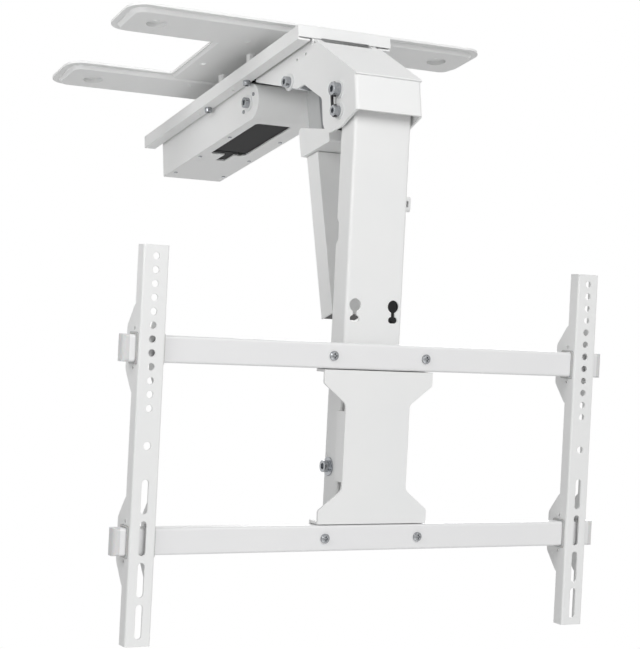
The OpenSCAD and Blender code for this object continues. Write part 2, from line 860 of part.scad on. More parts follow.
// Column: a channel that is open at its back
module flank_outline() {
    difference() {
        union() {
            translate([-column_front, -column_len]) square([column_d, column_len - column_web_top]);
            circle(hinge_lobe_r);
            polygon([[-column_front, -column_web_top], [-hinge_lobe_r, 0], [hinge_lobe_r, 0],
                [hinge_lobe_r, -hinge_lobe_r], [column_rear, -2.6 * hinge_lobe_r],
                [-column_front, -2.6 * hinge_lobe_r]]);
        }
        polygon(rounded([
            [column_rear + cut, cut - notch_top], [column_rear - notch_depth, -notch_top - notch_depth],
            [column_rear - notch_depth, notch_depth - notch_top - notch_len],
            [column_rear + cut, -cut - notch_top - notch_len]], [0, notch_r, notch_r, 0]));
    }
}

// Fills the inner side of a bend between a web and a flange
module bend_fill(half, inner, r, top, foot) {
    translate([0, 0, foot]) linear_extrude(top - foot) difference() {
        translate([half - r, inner - edge_step]) square([r + edge_step, r + edge_step]);
        translate([half - r, inner + r]) circle(r);
    }
}

module keyhole() {
    circle(d = keyhole_d);
    translate([-keyhole_neck / 2, -keyhole_fall]) square([keyhole_neck, keyhole_fall]);
    translate([0, -keyhole_fall]) soft_rect(keyhole_foot_w, keyhole_foot_h, keyhole_foot_h / 2 - edge_step);
}

// Keeps what lies inside a channel's outline, with its two front corners rounded
module channel_form(half, front, rear, r, top, foot) {
    translate([0, 0, foot]) linear_extrude(top - foot) {
        translate([-half, r - front]) square([2 * half, rear + front - r]);
        translate([r - half, -front]) square([2 * (half - r), r + edge_step]);
        for (x = [-1, 1]) translate([x * (half - r), r - front]) circle(r);
    }
}

module column() {
    color("whitesmoke") on_column() difference() {
        intersection() {
            union() {
                both_sides() along_x(column_in, column_t) flank_outline();
                block([-column_in, -column_front, -column_len],
                    [column_in, column_t - column_front, -column_web_top]);
                both_sides() bend_fill(column_in, column_t - column_front, column_bend_r - column_t,
                    -column_web_top, -column_len);
            }
            channel_form(column_half, column_front, hinge_lobe_r, column_bend_r, hinge_lobe_r, -column_len);
        }
        bar_x(-column_w, 2 * column_w, hinge_d + 2 * bush_wall);
        translate([0, -foot_pivot_in, -foot_pivot]) bar_x(-column_w, 2 * column_w, pivot_d);
        for (x = [-1, 1]) translate([x * keyhole_x, cut - column_front + column_t, -keyhole_drop])
            rotate([90, 0, 0]) linear_extrude(column_t + 2 * cut) keyhole();
        translate([0, -clip_in, -clip_drop]) bar_x(0, column_w, m4_d);
    }
}

cheek_len = 95;
cheek_rear = 1;

module column_cheeks() {
    color("gainsboro") on_column() both_sides() difference() {
        along_x(cheek_in, cheek_t) {
            circle(hinge_lobe_r - cheek_rear);
            polygon([[-column_front + column_t + cheek_rear, -column_web_top - cheek_rear],
                [-hinge_lobe_r * 0.8, 0], [hinge_lobe_r * 0.8, 0],
                [hinge_lobe_r * 0.7, -hinge_lobe_r], [column_rear, -2.4 * hinge_lobe_r],
                [column_rear - cheek_rear, -cheek_len],
                [-column_front + column_t + cheek_rear, -cheek_len]]);
        }
        bar_x(0, column_w, hinge_d + 2 * bush_wall);
    }
}

bush_flange_t = 0.5;

module hinge_bushes() {
    color("darkgoldenrod") on_column() both_sides() difference() {
        union() {
            bar_x(cheek_in, column_half - cheek_in, hinge_d + 2 * bush_wall);
            bar_x(column_half, bush_flange_t, hinge_d + 2 * (bush_wall + bush_flange));
        }
        bar_x(0, column_w, hinge_d + 2 * fit);
    }
}

// Clip for the television's cables on the column's right flank
clip_drop = 129.7;
clip_in = 16;
clip_h = 9;
clip_w = 14;
clip_len = 18;
clip_r = 3;

module cable_clip() {
    color("whitesmoke") on_column() translate([column_half, -clip_in, -clip_drop]) {
        difference() {
            along_x(0, clip_h) soft_rect(clip_w, clip_len, clip_r);
            translate([clip_h / 3, -clip_w, -clip_w / 4]) cube([clip_h / 3, 2 * clip_w, clip_w / 2]);
        }
        bar_x(-column_t - cut, column_t + cut, m4_d);
    }
}

// Black plastic pad on the flank's inner face, beside the keyholes
pad_top = 228;
pad_len = 58;
pad_t = 3;
pad_edge = 2;

module cable_pad() {
    color("#1c1c1e") on_column() difference() {
        block([column_in - pad_t, column_t + pad_edge - column_front, -pad_top - pad_len],
            [column_in, column_rear - pad_edge, -pad_top]);
        for (z = [pad_top + pad_len / 4, pad_top + pad_len * 3 / 4])
            translate([0, (column_rear - column_front) / 2, -z])
                bar_x(column_in - pad_t - cut, pad_t + 2 * cut, m4_d);
    }
}

module foot_pivot_bolts() {
    color("silver") on_column() both_sides() translate([column_half, -foot_pivot_in, -foot_pivot]) {
        translate([washer_t, 0, 0])
            socket_bolt(pivot_d, column_half + washer_t - eye_half - open_gap, m10_head_d, m10_head_h);
        washer_x(0, hinge_washer_d, pivot_d);
    }
}

module foot_pivot_sleeves() {
    color("silver") on_column() translate([0, -foot_pivot_in, -foot_pivot]) both_sides() difference() {
        bar_x(eye_half + open_gap, column_in - eye_half - open_gap, sleeve_d);
        bar_x(0, column_w, pivot_d);
    }
}

// Bracket that carries both cross tubes, with a waisted front panel between them
bracket_top = tube_drop + tube_h / 2 + play * 2;
bracket_foot = low_tube_drop - tube_h / 2 - play * 2;

function bracket_points() = rounded([
    [-bracket_half, -bracket_top], [bracket_half, -bracket_top],
    [bracket_half, -bracket_top - bracket_shoulder],
    [bracket_waist, -bracket_top - bracket_shoulder - bracket_slope],
    [bracket_waist, bracket_slope + bracket_shoulder - bracket_foot],
    [bracket_half, bracket_shoulder - bracket_foot], [bracket_half, -bracket_foot],
    [-bracket_half, -bracket_foot], [-bracket_half, bracket_shoulder - bracket_foot],
    [-bracket_waist, bracket_slope + bracket_shoulder - bracket_foot],
    [-bracket_waist, -bracket_top - bracket_shoulder - bracket_slope],
    [-bracket_half, -bracket_top - bracket_shoulder]],
    [bracket_tip_r, bracket_tip_r, bracket_out_r, bracket_in_r, bracket_in_r, bracket_out_r,
    bracket_tip_r, bracket_tip_r, bracket_out_r, bracket_in_r, bracket_in_r, bracket_out_r]);

module centre_bracket() {
    tongue = tube_h - 3 * bracket_t;
    color("whitesmoke") on_column() difference() {
        union() {
            translate([0, bracket_t - tube_front, 0]) rotate([90, 0, 0]) linear_extrude(bracket_t)
                polygon(bracket_points());
            block([-bracket_half, -tube_front, -bracket_top - bracket_t],
                [bracket_half, -column_front, -bracket_top]);
            block([-bracket_half, -tube_front, -bracket_foot],
                [bracket_half, -column_front, bracket_t - bracket_foot]);
            both_sides() block(
                [bracket_waist - bracket_t, -tube_front,
                    bracket_shoulder + bracket_slope + bracket_in_r - bracket_foot],
                [bracket_waist, -column_front,
                    -bracket_top - bracket_shoulder - bracket_slope - bracket_in_r]);
            block([-bracket_half, -tube_rear, -bracket_top],
                [bracket_half, -column_front, tongue - bracket_top]);
            block([-bracket_half, -tube_rear, -bracket_foot - tongue],
                [bracket_half, -column_front, -bracket_foot]);
        }
        for (x = [-1, 1], z = [tube_drop, low_tube_drop])
            translate([x * tube_screw_x, -column_front + cut, -z])
            rotate([90, 0, 0]) cylinder(h = bracket_t + 2 * cut, d = m6_d);
    }
}

module tube_section(inset) {
    soft_rect(tube_d - 2 * inset, tube_h - 2 * inset, tube_r - inset);
}

module cross_tube(drop) {
    color("white") on_column() translate([0, -(tube_front + tube_rear) / 2, -drop]) difference() {
        along_x(-tube_len / 2, tube_len) tube_section(0);
        along_x(-tube_len / 2 - cut, tube_len + 2 * cut) tube_section(tube_t);
        for (x = [-1, 1]) translate([x * tube_screw_x, tube_d, 0]) rotate([90, 0, 0])
            cylinder(h = 2 * tube_d, d = m6_d);
    }
}

module upper_tube() {
    cross_tube(tube_drop);
}

module lower_tube() {
    cross_tube(low_tube_drop);
}

module tube_end_caps() {
    color("gainsboro") on_column() for (drop = [tube_drop, low_tube_drop])
        translate([0, -(tube_front + tube_rear) / 2, -drop]) both_sides() {
            intersection() {
                along_x(tube_len / 2, cap_t) tube_section(0);
                translate([tube_len / 2, 0, -tube_h]) linear_extrude(2 * tube_h) polygon(rounded([
                    [0, -tube_d / 2], [cap_t, -tube_d / 2], [cap_t, tube_d / 2], [0, tube_d / 2]],
                    [0, cap_r, cap_r, 0]));
            }
            along_x(tube_len / 2 - cap_plug, cap_plug) difference() {
                tube_section(tube_t);
                tube_section(2 * tube_t);
            }
        }
}

module tube_screws() {
    color("silver") on_column() for (x = [-1, 1], drop = [tube_drop, low_tube_drop])
        translate([x * tube_screw_x, -tube_front, -drop]) rotate([90, 0, 0]) difference() {
            union() {
                translate([0, 0, -tube_d - bracket_t - m6_nut_h])
                    cylinder(h = tube_d + bracket_t + m6_nut_h, d = m6_d);
                cylinder(h = m6_head_h * 0.5, d = m6_head_d);
                translate([0, 0, m6_head_h * 0.5])
                    cylinder(h = m6_head_h * 0.5, d1 = m6_head_d, d2 = m6_head_d * 0.7);
            }
            for (turn = [0, 90]) rotate([0, 0, turn])
                translate([-m6_d / 2, -m3_head_h / 2, m6_head_h * 0.4])
                cube([m6_d, m3_head_h, m6_head_h]);
        }
}

module tube_nuts() {
    color("silver") on_column() for (x = [-1, 1], drop = [tube_drop, low_tube_drop])
        translate([x * tube_screw_x, -column_front, -drop]) rotate([-90, 0, 0]) difference() {
            hex(m6_af, m6_nut_h);
            translate([0, 0, -cut]) cylinder(h = m6_nut_h + 2 * cut, d = m6_d);
        }
}

// Flange outline of a television rail, drawn in Y and Z of the column's frame
module tv_flange_outline() {
    rear = tv_flange - tv_rail_front;
    deep = flare_depth - tv_rail_front;
    difference() {
        union() {
            translate([-tv_rail_front, -tv_rail_top - tv_rail_len]) square([tv_flange, tv_rail_len]);
            for (drop = [tube_drop, low_tube_drop]) translate([0, -drop]) polygon(rounded([
                [-tv_rail_front, flare_foot], [rear, flare_foot], [deep, flare_tip], [deep, -flare_tip],
                [rear, -flare_foot], [-tv_rail_front, -flare_foot]],
                [0, flare_in_r, flare_out_r, flare_out_r, flare_in_r, 0]));
        }
        for (drop = [tube_drop, low_tube_drop]) translate([-(tube_front + tube_rear) / 2, -drop]) {
            soft_rect(tube_d + 2 * window_play, tube_h + 2 * window_play, tube_r);
            for (z = [-1, 1]) translate([0, z * (tube_h / 2 + window_play + pin_hole_d)])
                circle(d = pin_hole_d);
        }
    }
}

module tv_rail(x) {
    color("whitesmoke") on_column() translate([x, 0, 0]) difference() {
        intersection() {
            union() {
                both_sides() along_x(tv_rail_w / 2 - tv_rail_t, tv_rail_t) tv_flange_outline();
                block([-tv_rail_w / 2, -tv_rail_front, -tv_rail_top - tv_rail_len],
                    [tv_rail_w / 2, tv_rail_t - tv_rail_front, -tv_rail_top]);
            }
            channel_form(tv_rail_w / 2, tv_rail_front, flare_depth, tv_bend_r, -tv_rail_top,
                -tv_rail_top - tv_rail_len);
        }
        translate([0, cut + tv_rail_t - tv_rail_front, -tv_rail_top]) rotate([90, 0, 0]) {
            for (k = [0 : hole_count - 1]) translate([0, -hole_first - k * hole_pitch, 0])
                cylinder(h = tv_rail_t + 2 * cut, d = tv_hole_d);
            translate([0, -hole_first - single_hole, 0])
                cylinder(h = tv_rail_t + 2 * cut, d = single_hole_d);
            for (k = [0 : slot_count - 1])
                translate([0, -hole_first - slot_first - k * slot_pitch - slot_len / 2, 0])
                    linear_extrude(tv_rail_t + 2 * cut) {
                        square([slot_w, slot_len - slot_w], center = true);
                        for (z = [-1, 1]) translate([0, z * (slot_len - slot_w) / 2]) circle(d = slot_w);
                    }
        }
    }
}

// Plastic frames that line the windows of a television rail and glide on the tubes
module tv_rail_guides(x) {
    color("white") on_column() for (side = [-1, 1], drop = [tube_drop, low_tube_drop])
        translate([x + side * (tv_rail_w - tv_rail_t) / 2, -(tube_front + tube_rear) / 2, -drop])
            along_x(-tv_rail_t / 2 - guide_proud, tv_rail_t + 2 * guide_proud) difference() {
                soft_rect(tube_d + 2 * window_play - 2 * guide_fit,
                    tube_h + 2 * window_play - 2 * guide_fit, tube_r);
                soft_rect(tube_d + 2 * guide_play, tube_h + 2 * guide_play, tube_r);
            }
}

module rail_guides_left() {
    tv_rail_guides(-tv_span / 2);
}

module rail_guides_right() {
    tv_rail_guides(tv_span / 2);
}

module tv_rail_left() {
    tv_rail(-tv_span / 2);
}

module tv_rail_right() {
    tv_rail(tv_span / 2);
}

// Actuator: distances below the upper pivot along its line
gear_half = 28;
gear_rear = 19;
gear_ahead = 58;
gear_top = 52;
gear_front_top = 84;
gear_foot = 92;
gear_front_foot = 100;
gear_t = 2;
gear_r = 6;
gear_foot_r = 3;
cover_end = 304;
cover_ahead = 16.5;
cover_rear = cover_d - cover_ahead;
cover_t = 2;
cover_gap = 1.2;
motor_d = 36;
motor_top = 8;
barrel_t = 2;
screw_d = 9;
screw_room = 1;
rod_neck_d = 14;
nut_len = 15;
rod_top = 268;
gland_len = 10;
gear_mod = 1;
wheel_teeth = 30;
pinion_teeth = 26;
gear_drop = 82;
gear_face = 6;
// Motor axis in front of the rod's axis, from the two meshed gears
motor_ahead = gear_mod * (wheel_teeth + pinion_teeth) / 2;

function gear_box_points(inset) = rounded([
    [gear_rear - inset, -gear_top - inset], [gear_rear - inset, inset - gear_foot],
    [inset - gear_ahead, inset - gear_front_foot], [inset - gear_ahead, -gear_front_top - inset]],
    [gear_r - inset, gear_foot_r, gear_foot_r, gear_r - inset]);

module gearbox_cover() {
    color("whitesmoke") on_strut() difference() {
        along_x(-gear_half, 2 * gear_half) polygon(gear_box_points(0));
        along_x(gear_t - gear_half, 2 * (gear_half - gear_t)) polygon(gear_box_points(gear_t));
        translate([0, 0, -cover_end]) cylinder(h = cover_end - gear_drop, d = barrel_d);
        translate([0, 0, -gear_drop]) cylinder(h = gear_drop, d = sleeve_d);
        translate([0, -motor_ahead, -gear_drop]) cylinder(h = gear_drop, d = motor_d);
    }
}

// How far the housing's roof lies below the pivot, at a depth behind the actuator's axis
function gear_roof(back) = gear_top
    + (gear_rear - back) * (gear_front_top - gear_top) / (gear_rear + gear_ahead);

module actuator_eye() {
    neck = gear_drop - gear_face;
    color("whitesmoke") on_strut() difference() {
        union() {
            bar_x(-head_block_half, 2 * head_block_half, eye_d);
            translate([0, 0, -neck]) cylinder(h = neck, d = sleeve_d);
            along_x(-head_block_half, 2 * head_block_half) polygon(rounded([
                [head_block_rear, -eye_half], [head_block_rear, play - gear_roof(head_block_rear)],
                [-head_block_front, play - gear_roof(-head_block_front)], [-head_block_front, 0]],
                [eye_half, 0, 0, 0]));
        }
        bar_x(-eye_d, 2 * eye_d, pivot_d + 2 * fit);
        translate([0, 0, -neck - cut])
            cylinder(h = neck - eye_d / 2 - gear_face + cut, d = screw_d + 2 * fit);
        translate([0, -motor_ahead, -gear_drop]) cylinder(h = gear_drop + cut, d = motor_d + 2 * play);
    }
}

module actuator_cover() {
    color("whitesmoke") on_strut() difference() {
        block([-cover_w / 2, -cover_ahead, -cover_end], [cover_w / 2, cover_rear, -gear_foot]);
        block([cover_t - cover_w / 2, cover_t - cover_ahead, -cover_end - cut],
            [cover_w / 2 - cover_t, cover_rear + cut, cut - gear_foot]);
        along_x(-cover_w, 2 * cover_w) polygon(gear_box_points(-cover_gap));
    }
}

module actuator_barrel() {
    top = gear_foot - 2 * gear_t;
    color("silver") on_strut() translate([0, 0, -cover_end + gland_len]) difference() {
        cylinder(h = cover_end - gland_len - top, d = barrel_d);
        translate([0, 0, -cut])
            cylinder(h = cover_end - gland_len - top + 2 * cut, d = barrel_d - 2 * barrel_t);
    }
}

module barrel_gland() {
    color("#2a2a2c") on_strut() difference() {
        block([cover_t - cover_w / 2, cover_t - cover_ahead, -cover_end],
            [cover_w / 2 - cover_t, cover_rear - gear_t, gland_len - cover_end]);
        translate([0, 0, -cover_end - cut]) cylinder(h = gland_len + 2 * cut, d = rod_d + 2 * fit);
    }
}

module drive_motor() {
    color("#2a2a2c") on_strut() translate([0, -motor_ahead, 0]) difference() {
        union() {
            translate([0, 0, -gear_drop + gear_face])
                cylinder(h = gear_drop - gear_face - motor_top, d = motor_d);
            translate([0, 0, -motor_top]) cylinder(h = gear_face / 2, d = motor_d / 2);
        }
        translate([0, 0, -gear_drop]) cylinder(h = 3 * gear_face, d = screw_d);
    }
}

// A spur gear about Z with slim straight teeth
module spur_gear(teeth, h, bore, phase) {
    root = gear_mod * (teeth / 2 - 1.3);
    tip = gear_mod * (teeth / 2 + 0.8);
    step = 360 / teeth;
    rotate([0, 0, phase]) difference() {
        linear_extrude(h) polygon([for (k = [0 : teeth - 1]) each [
            root * [cos((k - 0.25) * step), sin((k - 0.25) * step)],
            tip * [cos((k - 0.1) * step), sin((k - 0.1) * step)],
            tip * [cos((k + 0.1) * step), sin((k + 0.1) * step)],
            root * [cos((k + 0.25) * step), sin((k + 0.25) * step)]]]);
        translate([0, 0, -cut]) cylinder(h = h + 2 * cut, d = bore);
    }
}

module motor_pinion() {
    color("gold") on_strut() translate([0, -motor_ahead, -gear_drop - gear_face]) {
        spur_gear(pinion_teeth, gear_face, screw_d / 2, 90);
        cylinder(h = 3 * gear_face, d = screw_d / 2);
    }
}

module drive_gear() {
    color("gold") on_strut() translate([0, 0, -gear_drop - gear_face])
        spur_gear(wheel_teeth, gear_face, screw_d, 90 + 180 / wheel_teeth);
}

module lead_screw() {
    top = eye_d / 2 + 2 * gear_face;
    color("silver") on_strut() translate([0, 0, -cover_end + 2 * gland_len])
        cylinder(h = cover_end - 2 * gland_len - top, d = screw_d);
}

module actuator_rod() {
    color("silver") on_strut() translate([0, 0, -reach + eye_d / 2]) difference() {
        cylinder(h = reach - eye_d / 2 - rod_top, d = rod_d);
        translate([0, 0, eye_d]) cylinder(h = reach, d = screw_d + 2 * screw_room);
    }
}

module drive_nut() {
    color("white") on_strut() translate([0, 0, -rod_top]) difference() {
        cylinder(h = nut_len, d = barrel_d - 2 * barrel_t - 2 * fit);
        translate([0, 0, -cut]) cylinder(h = nut_len + 2 * cut, d = screw_d + 2 * fit);
    }
}

module rod_eye() {
    color("silver") on_strut() translate([0, 0, -reach]) difference() {
        union() {
            bar_x(-eye_half, 2 * eye_half, rod_eye_d);
            cylinder(h = eye_d / 2, d = rod_neck_d);
        }
        bar_x(-eye_d, 2 * eye_d, pivot_d);
    }
}

module eye_pin() {
    color("silver") on_strut() translate([0, 0, -reach]) bar_x(-eye_half, 2 * eye_half, pivot_d);
}

ceiling_plate();
plate_spacers();
plate_studs();
plate_nuts();
top_rail();
rail_front_cap();
lip_bolts();
lip_nuts();
head_frame();
ear_doublers();
hinge_bolts();
hinge_nuts();
ear_lower_bolts();
ear_washers();
bolt_locks();
top_pivot_bolt();
top_pivot_nut();
top_pivot_sleeves();
casing_shell();
casing_bottom();
casing_screws();
nose_bolts();
nose_washers();
nose_screws();
control_box();
control_lid();
control_board();
power_supply();
power_inlet();
column();
column_cheeks();
hinge_bushes();
cable_clip();
cable_pad();
foot_pivot_bolts();
foot_pivot_sleeves();
centre_bracket();
upper_tube();
lower_tube();
tube_end_caps();
tube_screws();
tube_nuts();
tv_rail_left();
tv_rail_right();
rail_guides_left();
rail_guides_right();
gearbox_cover();
actuator_eye();
actuator_cover();
actuator_barrel();
barrel_gland();
drive_motor();
motor_pinion();
drive_gear();
lead_screw();
actuator_rod();
drive_nut();
rod_eye();
eye_pin();
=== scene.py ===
# %% [markdown]
# # A motorised ceiling mount for a television
#
# The object hangs under a ceiling: an H-shaped plate, a rail, a bent head, and a column that a
# linear actuator swings down. Two cross tubes carry two slotted rails for the television.
# Nearly all of it is folded sheet steel with a white powder coat, so this lesson is mostly about
# how one pale finish can still look like painted metal: its edges, its slight texture and its
# shadows carry the whole picture. The shapes come ready and exact from the mechanical model.

# %% Load the fixed model
import bpy
import math
from mathutils import Matrix, Vector

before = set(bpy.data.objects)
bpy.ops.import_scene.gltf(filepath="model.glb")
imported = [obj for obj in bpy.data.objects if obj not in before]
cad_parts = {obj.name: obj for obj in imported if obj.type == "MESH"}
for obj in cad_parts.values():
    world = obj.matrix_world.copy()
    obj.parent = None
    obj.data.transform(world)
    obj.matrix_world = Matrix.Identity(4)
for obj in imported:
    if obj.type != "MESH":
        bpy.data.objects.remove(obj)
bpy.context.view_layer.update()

# %% [markdown]
# ## Camera
#
# The photograph was taken from below and from the left, with a long lens. The camera stands where
# such a picture comes from: lower than the lower tube, turned 27.7 degrees, tilted up 9.5 degrees
# and leaned over by 2.2. It could be placed with three Euler angles, but their order is easy to
# get wrong. A camera looks along its own -Z, so its matrix can be built straight from three
# directions, right, up and back, and each of them can be printed and checked.

# %% Camera
MM = 0.001
yaw, tilt, roll = (math.radians(angle) for angle in (27.7, 9.5, -2.2))
ahead = Vector((math.sin(yaw) * math.cos(tilt), math.cos(yaw) * math.cos(tilt), math.sin(tilt)))
level_right = Vector((math.cos(yaw), -math.sin(yaw), 0.0))
level_up = level_right.cross(ahead)
right = level_right * math.cos(roll) + level_up * math.sin(roll)
up = level_up * math.cos(roll) - level_right * math.sin(roll)

picture_width = 640
focal_pixels = 1618.4
sensor_mm = 36.0
camera_data = bpy.data.cameras.new("studio_camera")
camera_data.sensor_fit = "HORIZONTAL"
camera_data.sensor_width = sensor_mm
camera_data.lens = focal_pixels / picture_width * sensor_mm
camera = bpy.data.objects.new("studio_camera", camera_data)
spot = Vector((-928.0, -1903.8, -715.3)) * MM
camera.matrix_world = Matrix((
    (right.x, up.x, -ahead.x, spot.x),
    (right.y, up.y, -ahead.y, spot.y),
    (right.z, up.z, -ahead.z, spot.z),
    (0.0, 0.0, 0.0, 1.0)))
bpy.context.scene.collection.objects.link(camera)
bpy.context.scene.camera = camera
print("lens", round(camera_data.lens, 2), "mm, camera at", [round(v, 3) for v in spot])

# %% [markdown]
# ## Helpers for materials
#
# Colours are written as the hex values that a picture editor shows. Those are sRGB values, while
# the renderer works with linear light, so one function converts them. A second function adds a
# shader node, sets its inputs and links it, so that each material below reads as a short list.
# `begin` lays out what every material starts with. Its coordinates are the object's own, in
# metres, so a pattern that repeats every 3 mm has a scale of 1 / 0.003, whatever the piece.

# %% Colour and node helpers
def linear(hex_code):
    parts = [int(hex_code[i:i + 2], 16) / 255 for i in (1, 3, 5)]
    light = [c / 12.92 if c <= 0.04045 else ((c + 0.055) / 1.055) ** 2.4 for c in parts]
    return (*light, 1.0)


def add(tree, kind, settings=None, inputs=None):
    made = tree.nodes.new(kind)
    for name, value in (settings or {}).items():
        setattr(made, name, value)
    for name, value in (inputs or {}).items():
        if isinstance(value, bpy.types.NodeSocket):
            tree.links.new(value, made.inputs[name])
        else:
            made.inputs[name].default_value = value
    return made


def begin(name):
    finish = bpy.data.materials.new(name)
    finish.use_nodes = True
    tree = finish.node_tree
    tree.nodes.clear()
    where = add(tree, "ShaderNodeTexCoord").outputs["Object"]
    shader = add(tree, "ShaderNodeBsdfPrincipled")
    add(tree, "ShaderNodeOutputMaterial", inputs={"Surface": shader.outputs["BSDF"]})
    return finish, tree, where, shader


print("white at #ffffff is", linear("#ffffff"))

# %% [markdown]
# ## What all the finishes share
#
# No real surface has one flat colour, and none is perfectly smooth. `mottle` lets a soft noise
# choose between two close tones. `emboss` turns a pattern into small bumps. It can also soften
# the edges with the Bevel node, which bends the normal near an edge. Rounding the edges in the
# mesh would do the same, but the shapes belong to the mechanical model and stay untouched.

# %% Tone and relief
edge_rays = 4


def mottle(tree, where, shader, tone, deep_tone, patch_mm, detail=2.0):
    patch = add(tree, "ShaderNodeTexNoise",
                inputs={"Vector": where, "Scale": 1 / (patch_mm * MM), "Detail": detail})
    tint = add(tree, "ShaderNodeMix", {"data_type": "RGBA"},
               {"Factor": patch.outputs["Fac"], "A": linear(deep_tone), "B": linear(tone)})
    tree.links.new(tint.outputs["Result"], shader.inputs["Base Color"])
    return patch.outputs["Fac"]


def emboss(tree, shader, height, strength, depth_mm, edge_mm=0.0):
    skin = add(tree, "ShaderNodeBump",
               inputs={"Height": height, "Strength": strength, "Distance": depth_mm * MM})
    if edge_mm:
        edge = add(tree, "ShaderNodeBevel", {"samples": edge_rays}, {"Radius": edge_mm * MM})
        tree.links.new(edge.outputs["Normal"], skin.inputs["Normal"])
    tree.links.new(skin.outputs["Normal"], shader.inputs["Normal"])


print("rays for each soft edge:", edge_rays)

# %% [markdown]
# ## White powder coat on folded steel
#
# Powder coat is sprayed on as dry plastic powder and baked until it flows. It gives an even satin
# white with a faint skin like orange peel, waves of about 1.5 mm. It also rounds every sheared
# edge a little, and this soft edge is what tells the eye that a white sheet is painted steel and
# not paper. The peel could be real displacement, but at this size a bump looks the same and costs
# nothing. A much larger and very weak noise shifts the tone a little, as thicker and thinner
# coats do, and a third one varies the roughness where hands rub. The cast block between the nose
# and the head has a coarser coat, and its grey tone is painted shade: it stands in for the deep
# shade between the ears. The washers have a thinner coat, so that their edges stay crisp.

# %% Powder coat
coat_patch_mm = 90.0
rubbed_patch_mm = 35.0
rubbed_smoother, rubbed_rougher = 0.05, 0.07


def powder_coat(name, tone, deep_tone, roughness, peel_mm=1.5, edge_mm=0.7):
    finish, tree, where, shader = begin(name)
    mottle(tree, where, shader, tone, deep_tone, coat_patch_mm)
    rubbed = add(tree, "ShaderNodeTexNoise",
                 inputs={"Vector": where, "Scale": 1 / (rubbed_patch_mm * MM), "Detail": 3.0})
    rough = add(tree, "ShaderNodeMapRange",
                inputs={"Value": rubbed.outputs["Fac"], "To Min": roughness - rubbed_smoother,
                        "To Max": roughness + rubbed_rougher})
    tree.links.new(rough.outputs["Result"], shader.inputs["Roughness"])
    peel = add(tree, "ShaderNodeTexNoise",
               inputs={"Vector": where, "Scale": 1 / (peel_mm * MM), "Detail": 1.0})
    emboss(tree, shader, peel.outputs["Fac"], strength=0.10, depth_mm=0.05, edge_mm=edge_mm)
    shader.inputs["IOR"].default_value = 1.5
    return finish


coat_sheet = powder_coat("powder_coated_sheet_steel", "#eeeeed", "#e9eaea", 0.42)
coat_tube = powder_coat("powder_coated_steel_tube", "#ececec", "#e8e8e9", 0.36, peel_mm=1.2)
coat_pressing = powder_coat("powder_coated_thick_plate", "#eeeeed", "#e9eaea", 0.44, edge_mm=0.5)
# The grey of the cast block is painted shade, not the colour of its coat.
cast_coat_painted_shade = powder_coat("cast_block_coat_with_painted_shade", "#bcbdbd", "#b4b6b6", 0.50, peel_mm=2.0)
coat_washer = powder_coat("powder_coated_washer", "#e4e5e5", "#dcdddd", 0.35, edge_mm=0.25)
coats = (coat_sheet, coat_tube, coat_pressing, cast_coat_painted_shade, coat_washer)
print("powder coats:", [coat.name for coat in coats])

# %% [markdown]
# ## Zinc plating and other bare metals
#
# Bolts, nuts and screws are cold-headed steel with a thin zinc plating. Zinc is a metal, so the
# colour sits in the reflection and metallic is 1. The plating is slightly cloudy, with patches
# about 3 mm wide that are duller, and the heading tools leave fine rings, here drawn as a very
# fine noise. The plating is a shade darker than polished zinc, or the heads would melt into the
# white sheet. The cross-head screws have smaller and darker patches, because their recess breaks
# up the shine. The same function makes the other metals, since they differ only in tone, in
# roughness and in the size of their patches. Grinding leaves rings round the rod and drawing
# leaves lines along the tube: both are the fine noise, squeezed 14 times along one direction.

# %% Bare metals
dull_patch_rougher, dull_patch_smoother = 0.10, 0.06
no_direction = (1.0, 1.0, 1.0)
ground_rings = (1.0, 1.0, 14.0)
drawn_lines = (14.0, 14.0, 1.0)


def bare_metal(name, tone, deep_tone, roughness, patch_mm, grain_mm, squeeze=no_direction):
    finish, tree, where, shader = begin(name)
    patch = mottle(tree, where, shader, tone, deep_tone, patch_mm, detail=3.0)
    rough = add(tree, "ShaderNodeMapRange",
                inputs={"Value": patch, "To Min": roughness + dull_patch_rougher,
                        "To Max": roughness - dull_patch_smoother})
    tree.links.new(rough.outputs["Result"], shader.inputs["Roughness"])
    laid = add(tree, "ShaderNodeMapping", inputs={"Vector": where, "Scale": squeeze})
    grain = add(tree, "ShaderNodeTexNoise",
                inputs={"Vector": laid.outputs["Vector"], "Scale": 1 / (grain_mm * MM),
                        "Detail": 2.0})
    emboss(tree, shader, grain.outputs["Fac"], strength=0.15, depth_mm=0.02, edge_mm=0.4)
    shader.inputs["Metallic"].default_value = 1.0
    return finish


zinc_bolt = bare_metal("zinc_plated_cold_headed_steel", "#c0c2c5", "#84878b", 0.15, 3.0, 0.5)
zinc_screw = bare_metal("zinc_plated_cross_head_screw", "#bcbec0", "#5c5f63", 0.16, 1.2, 0.5)
zinc_washer = bare_metal("zinc_plated_stamped_washer", "#c2c4c5", "#a4a6a8", 0.30, 4.0, 0.6)
ground_rod = bare_metal("ground_and_chromed_rod", "#d2d4d6", "#bfc2c5", 0.20, 12.0, 0.4,
                        squeeze=ground_rings)
drawn_tube = bare_metal("drawn_aluminium_tube", "#c9cbcd", "#b6b9bb", 0.32, 20.0, 0.5,
                        squeeze=drawn_lines)
# The bolt locks are blackened steel, and their black also paints the shadow line beside the bolt
# heads.
blackened_wire_and_painted_shade = bare_metal("blackened_spring_wire_and_painted_shade", "#4a4a4c", "#333335", 0.45, 2.0, 0.3)
motor_can = bare_metal("rolled_steel_motor_can", "#8a8c8f", "#77797c", 0.35, 8.0, 0.5)
bronze = bare_metal("sintered_bronze", "#b08a4e", "#93713c", 0.42, 2.0, 0.4)
metals = (zinc_bolt, zinc_screw, zinc_washer, ground_rod, drawn_tube, blackened_wire_and_painted_shade, motor_can, bronze)
print("metals:", [metal.name for metal in metals])
